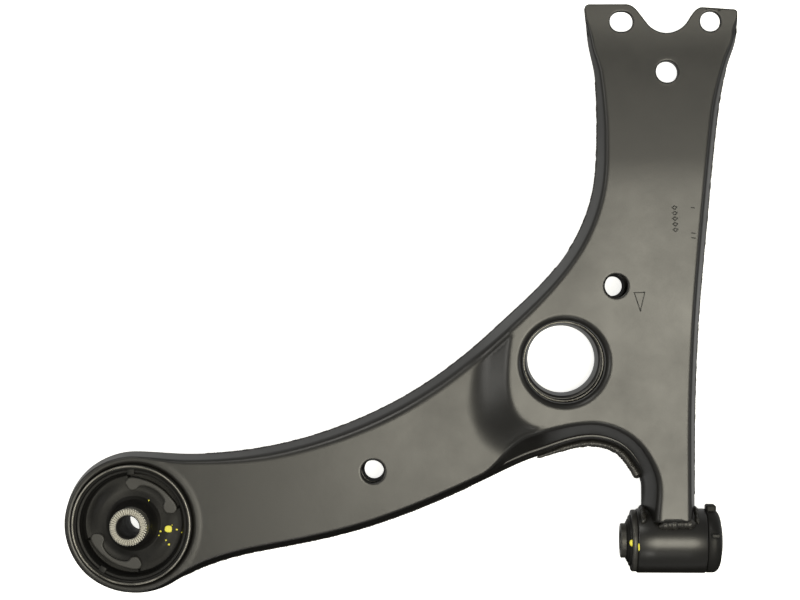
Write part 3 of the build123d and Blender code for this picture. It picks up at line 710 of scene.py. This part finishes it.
def web_height(radius, angle):
    """Half thickness of the bonded rubber: its section, a swell across the web, and the two voids."""
    height = np.interp(radius, *zip(*WEB_SECTION))
    swell = np.clip(1 - np.abs(radius - 22.5) / 7.5, 0, 1)
    height = height + 1.5 * swell * swell * (3 - 2 * swell) * np.cos(np.radians(2 * (angle - 148)))
    for middle in VOID_MIDDLES:
        off = (angle - middle + 180) % 360 - 180
        across = np.clip(1.0 - np.abs((radius - (LINING_R - 2.3)) / 2.5) ** 6, 0, 1)
        along = np.clip((VOID_SPREAD + 3.5 - np.abs(off)) / 2.5, 0, 1)
        height = height - (height - 0.6) * across * along
    return height


def bonded_rubber():
    """The rubber between the two sleeves, as two faces joined at the sleeve and at the lining."""
    spans = [np.linspace(WEB_IN, 18, 22), np.linspace(18, 27, 14), np.linspace(27, WEB_OUT, 56)]
    radii = np.unique(np.concatenate(spans))
    turns = np.arange(360) * 1.0
    radius, turn = np.meshgrid(radii, turns, indexing="ij")
    height = web_height(radius, turn)
    x = REAR[0] + radius * np.cos(np.radians(turn))
    y = REAR[1] + radius * np.sin(np.radians(turn))
    top = np.stack([x, y, height], 2).reshape(-1, 3)
    low = np.stack([x, y, -height], 2).reshape(-1, 3)
    count, faces = len(turns), []
    size = len(top)
    for k in range(len(radii) - 1):
        faces += strip_quads(count, (k + 1) * count, k * count)
        faces += [tuple(reversed(f)) for f in strip_quads(count, size + (k + 1) * count, size + k * count)]
    last = (len(radii) - 1) * count
    faces += [tuple(reversed(f)) for f in strip_quads(count, last, size + last)]
    faces += strip_quads(count, 0, size)
    vertices = np.concatenate([top, low])
    piece = mesh_piece("rear_bush_rubber_skin", vertices, faces, rubber, None)
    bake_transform(piece)
    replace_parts(piece, "rear_bush_rubber")


bonded_rubber()

PAD_HALF = 5.4
PAD_SIDE = [(0, 28.6), (20, 29.0), (35, 29.8), (41, 28.6), (42.5, 25.0), (38, 21.4), (29, 21.4), (21, 24.4)]


def pad_loop(middle, grow):
    """Bow-shaped stop pad seen from above: wide ends and a narrow waist."""
    corners = [(angle, radius + (grow if radius > 26 else -grow)) for angle, radius in PAD_SIDE]
    corners += [(0, 25.4 - grow)] + [(-angle, radius) for angle, radius in reversed(corners[1:])]
    corners = np.array(corners, float)
    loop = []
    for k in range(len(corners)):
        p0, p1, p2, p3 = (corners[(k + j) % len(corners)] for j in (-1, 0, 1, 2))
        for t in np.arange(10) / 10:
            loop.append(0.5 * (2 * p1 + (p2 - p0) * t + (2 * p0 - 5 * p1 + 4 * p2 - p3) * t**2
                               + (3 * p1 - p0 - 3 * p2 + p3) * t**3))
    loop = np.array(loop)
    turn = np.radians(loop[:, 0] + middle)
    return REAR + loop[:, 1:] * np.stack([np.cos(turn), np.sin(turn)], 1)


def stop_pad(name, middle, node):
    """A pad with rounded edges: loops that shrink towards the top and bottom faces."""
    levels = [(-1.3, -PAD_HALF), (-0.45, -PAD_HALF), (-0.1, 0.4 - PAD_HALF), (0.0, 1.0 - PAD_HALF),
              (0.0, PAD_HALF - 1.0), (-0.1, PAD_HALF - 0.4), (-0.45, PAD_HALF), (-1.3, PAD_HALF)]
    vertices, faces = [], []
    for grow, height in levels:
        loop = pad_loop(middle, grow)
        vertices.append(np.column_stack([loop, np.full(len(loop), height)]))
    count = len(vertices[0])
    for k in range(len(levels) - 1):
        faces += strip_quads(count, k * count, (k + 1) * count)
    for first, upward in ((0, False), ((len(levels) - 1) * count, True)):
        loop = vertices[0][:, :2]
        edges = [(i, (i + 1) % count) for i in range(count)]
        made = delaunay_2d_cdt([Vector(p) for p in loop], edges, [], 1, 1e-7)
        faces += [tuple(first + k for k in (t if upward else reversed(t))) for t in made[2]]
    piece = mesh_piece(name, np.concatenate(vertices), faces, pad_plastic, "arm")
    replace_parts(piece, node)


stop_pad("rear_pad_outboard_skin", VOID_MIDDLES[0], "rear_stop_pad_outboard")
stop_pad("rear_pad_inboard_skin", VOID_MIDDLES[1], "rear_stop_pad_inboard")
for number, angle in enumerate((91.0, 237.0)):
    place = REAR + (LINING_R + 1.5) * heading_vector(angle)
    rounded_block(f"rear_block_{number}", (4.6, 4.6, 3.4), (*place, 12.6), angle, 0.5, rubber, "arm")

# the inner sleeve's rings: radius, height, and how much of a serration's depth is cut there
TEETH, TOOTH_POINTS, TOOTH_DEPTH = 44, 8, 1.1
SLEEVE_RINGS = [
    (REAR_BORE_R + 0.5, REAR_CORE_HALF - 0.35, 0), (REAR_BORE_R + 1.0, REAR_CORE_HALF, 1),
    (REAR_CORE_R - 0.7, REAR_CORE_HALF, 1), (REAR_CORE_R - 0.35, REAR_CORE_HALF - 0.2, 0.6),
    (REAR_CORE_R, REAR_CORE_HALF - 0.9, 0), (REAR_CORE_R, 0.0, 0), (REAR_CORE_R, 0.9 - REAR_CORE_HALF, 0),
    (REAR_CORE_R - 0.35, 0.2 - REAR_CORE_HALF, -0.6), (REAR_CORE_R - 0.7, -REAR_CORE_HALF, -1),
    (REAR_BORE_R + 1.0, -REAR_CORE_HALF, -1), (REAR_BORE_R + 0.5, 0.35 - REAR_CORE_HALF, 0),
    (REAR_BORE_R, 1.0 - REAR_CORE_HALF, 0), (REAR_BORE_R, REAR_CORE_HALF - 1.0, 0),
]


def serrated_sleeve():
    """The inner sleeve, with serrated ends that bite the bracket, and a near-black bore: painted shade inside
    it.
    """
    steps = np.arange(TEETH * TOOTH_POINTS)
    tooth = np.abs((steps % TOOTH_POINTS) / TOOTH_POINTS * 2 - 1)
    tooth = np.clip((tooth - 0.25) / 0.5, 0, 1)
    turn = np.radians(steps * 360.0 / len(steps))
    count = len(steps)
    vertices, faces = [], []
    for k, (radius, height, cut) in enumerate(SLEEVE_RINGS):
        plan = REAR + radius * np.stack([np.cos(turn), np.sin(turn)], 1)
        vertices.append(np.column_stack([plan, height - TOOTH_DEPTH * cut * tooth]))
        following = (k + 1) % len(SLEEVE_RINGS)
        faces += [tuple(reversed(f)) for f in strip_quads(count, k * count, following * count)]
    piece = mesh_piece("rear_inner_sleeve_skin", np.concatenate(vertices), faces, sleeve_steel,
                       "rear_sleeve", smooth=False)
    piece.data.materials.append(bore_shade_finish)
    # the bore's faces take the near-black finish, painted shade inside the bore
    for polygon in piece.data.polygons[-3 * count:]:
        polygon.material_index = 1
    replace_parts(piece, "rear_inner_sleeve")


serrated_sleeve()

# ---- weld beads ------------------------------------------------------------------------------------
for seed, (node, edge, start, end) in enumerate([
    ("seam_weld_front", FRONT_EDGE, 0.045, 0.93),
    ("seam_weld_leg", REAR_EDGE[1:5], 0.02, 0.98),
    ("seam_weld_inner", REAR_EDGE[4:9], 0.03, 0.97),
    ("seam_weld_rear", REAR_EDGE[14:19], 0.03, 0.97),
]):
    path = skirt_path(edge, start, end, -1.6)
    bead(f"{node}_skin", path, (1.9, 1.9), weld_coat, seed=seed, node=node)
arch_path = skirt_path(REAR_EDGE[19:23], 0.0, 0.94, 0.7, -0.8)
bead("arch_weld_skin", arch_path, (0.9, 1.7, 2.2, 2.3, 2.5, 2.6), weld_coat, seed=11,
     ripple=0.12, lumps=0.3, node="arch_seam_weld")
for side, node in ((1, "tube_top_weld"), (-1, "tube_bottom_weld")):
    path = [(-9.0, NECK_END - 3.0, side * 17.8), (-4, NECK_END - 1.4, side * 18.3),
            (6, NECK_END - 1.0, side * 18.4), (14.0, NECK_END - 1.2, side * 18.2)]
    bead(f"{node}_skin", path, (1.6, 2.9, 2.5, 3.0, 2.7, 3.1, 2.4), weld_coat, seed=20 + side,
         ripple=0.12, lumps=0.5, node=node)
for seam_x, side, size, node in ((15.4, 1, 1.3, "tube_front_weld"), (-18.2, -1, 1.7, "tube_rear_weld")):
    turns = np.radians(range(52, -53, -8))
    arc = [(seam_x, (TUBE_R + 0.3) * math.cos(turn), (TUBE_R + 0.3) * math.sin(turn)) for turn in turns]
    bead(f"{node}_skin", arc, (size, size), weld_coat, seed=30 + side, ripple=0.15, lumps=0.4,
         up=(side, 0, 0), node=node)

# ---- marks -----------------------------------------------------------------------------------------
STROKE_R = 0.36
stamps = [
    [(-24.8, 158.2), (-18.2, 158.2), (-21.0, 146.6), (-24.8, 158.2)],
    [(11.0, 211.6), (13.6, 211.2)], [(11.2, 195.6), (14.0, 195.2)], [(11.4, 192.6), (14.2, 192.2)],
]
for row in range(5):
    x, y = 0.4 + 0.15 * row, 211.6 - 3.5 * row
    stamps.append([(x - 1.5, y), (x, y + 1.1), (x + 1.5, y), (x, y - 1.1), (x - 1.5, y)])
for number, stroke in enumerate(stamps):
    path = np.array([(x, y, top_height(np.array([[x, y]]))[0] - 0.12) for x, y in stroke])
    bead(f"stamp_{number}", path, (STROKE_R, STROKE_R), black_coat, ripple=0.0, lumps=0.05)


def blob(name, centre, size):
    """A dab of paint: a flattened ball, a little uneven."""
    turns, rows = 20, 8
    vertices, faces = [], []
    for k in range(rows + 1):
        tilt = math.pi * k / rows
        for j in range(turns):
            turn = 2 * math.pi * j / turns
            uneven = 1 + 0.25 * noise.noise(Vector((2 * math.cos(turn), 2 * math.sin(turn), len(name))))
            vertices.append([
                centre[0] + size[0] * uneven * math.sin(tilt) * math.cos(turn),
                centre[1] + size[1] * uneven * math.sin(tilt) * math.sin(turn),
                centre[2] + size[2] * math.cos(tilt),
            ])
    for k in range(rows):
        faces += strip_quads(turns, (k + 1) * turns, k * turns)
    mesh_piece(name, vertices, faces, paint, "arm")


blob("paint_dot_front", (-25.9, 0.3, 16.9), (1.6, 2.1, 0.9))
blob("paint_streak_front", (-21.7, -1.8, 20.0), (0.6, 2.6, 0.6))
# x and y off the rear bush's axis, and size
specks = [(22.3, -3.5, 2.5), (27.6, -3.9, 0.7), (31.0, -5.6, 0.5), (17.2, -5.0, 0.7), (16.2, -7.6, 0.5),
          (20.8, -10.6, 0.6), (22.6, -13.4, 0.8), (24.6, -1.0, 0.4), (9.5, 14.6, 0.5)]
for number, (x, y, size) in enumerate(specks):
    at = web_height(math.hypot(x, y), math.degrees(math.atan2(y, x)))
    blob(f"paint_speck_{number}", (REAR[0] + x, REAR[1] + y, float(at)), (size, 0.9 * size, 0.4))

# ---- CAD nodes that stay in view -------------------------------------------------------------------
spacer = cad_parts["bolt_spacer"]
spacer.data.materials.clear()
spacer.data.materials.append(dark_steel)

# ---- stage, lights and camera, in metres -----------------------------------------------------------
WIDE = ((-3, -3), (3, -3), (3, 3), (-3, 3))


def make_floor(name, height, shade, glow, corners=WIDE):
    """A wide flat floor that also glows a little, so that it stays pale under a soft light."""
    mesh = bpy.data.meshes.new(name)
    mesh.from_pydata([(x, y, height) for x, y in corners], [], [tuple(range(len(corners)))])
    made = bpy.data.objects.new(name, mesh)
    bpy.context.scene.collection.objects.link(made)
    material = bpy.data.materials.new(name)
    material.use_nodes = True
    shader = material.node_tree.nodes["Principled BSDF"]
    shader.inputs["Base Color"].default_value = (shade, shade, shade, 1)
    shader.inputs["Roughness"].default_value = 0.9
    shader.inputs["Emission Color"].default_value = (1, 1, 0.97, 1)
    shader.inputs["Emission Strength"].default_value = glow
    mesh.materials.append(material)
    return made


# The floor that is seen is white. The one that the coat mirrors is greyer, and lies just under it.
floor = make_floor("floor", -0.0325, 0.9, 0.8)
floor.visible_glossy = False
floor.visible_diffuse = False
mirrored_floor = make_floor("mirrored_floor", -0.0335, 0.3, 0.4)
mirrored_floor.visible_camera = False
mirrored_floor.visible_diffuse = False
# a dark card on the near side, which the arm's lower wall and the pivot tube mirror
card = make_floor("card", -0.0332, 0.02, 0.0, [
    (-0.45, -0.30), (0.25, -0.30), (0.25, -0.018), (-0.056, -0.018), (-0.064, 0.045), (-0.12, 0.05),
    (-0.20, 0.02), (-0.34, 0.0), (-0.45, 0.0),
])
card.visible_camera = False
card.visible_diffuse = False

world = bpy.data.worlds.new("studio")
bpy.context.scene.world = world
world.use_nodes = True
world.node_tree.nodes["Background"].inputs["Color"].default_value = (1.0, 0.99, 0.95, 1)
world.node_tree.nodes["Background"].inputs["Strength"].default_value = 0.30


def area_light(name, place, target, size, power, colour):
    """A round soft light that faces a point."""
    data = bpy.data.lights.new(name, "AREA")
    data.shape = "DISK"
    data.size = size
    data.energy = power
    data.color = colour
    light = bpy.data.objects.new(name, data)
    bpy.context.scene.collection.objects.link(light)
    light.location = place
    light.rotation_euler = (Vector(target) - Vector(place)).to_track_quat("-Z", "Y").to_euler()


area_light("overhead", (0.29, -0.12, 2.4), (0.0, 0.1, 0), 1.25, 43.0, (1.0, 0.955, 0.80))
area_light("left", (-1.5, 0.25, 1.35), (-0.1, 0.1, 0), 0.8, 6.0, (1.0, 0.98, 0.92))
area_light("front", (-0.25, -1.55, 1.75), (-0.1, 0.1, 0), 0.3, 4.0, (1.0, 0.98, 0.92))
area_light("back", (-0.75, 1.25, 1.0), (-0.1, 0.1, 0), 0.6, 4.5, (1.0, 0.98, 0.92))
area_light("right", (1.3, 0.2, 0.8), (-0.1, 0.1, 0), 0.5, 1.5, (0.95, 0.98, 1.0))

CAMERA_PLACE, CAMERA_TILT = (-0.13746, 0.1535, 1.361), math.radians(1.48)
camera_data = bpy.data.cameras.new("camera")
camera_data.lens = 95.7
camera_data.sensor_width = 36
camera_data.clip_end = 20
camera = bpy.data.objects.new("camera", camera_data)
bpy.context.scene.collection.objects.link(camera)
camera.location = CAMERA_PLACE
camera.rotation_euler = (0, CAMERA_TILT, 0)
bpy.context.scene.camera = camera
bpy.context.scene.view_settings.view_transform = "Standard"
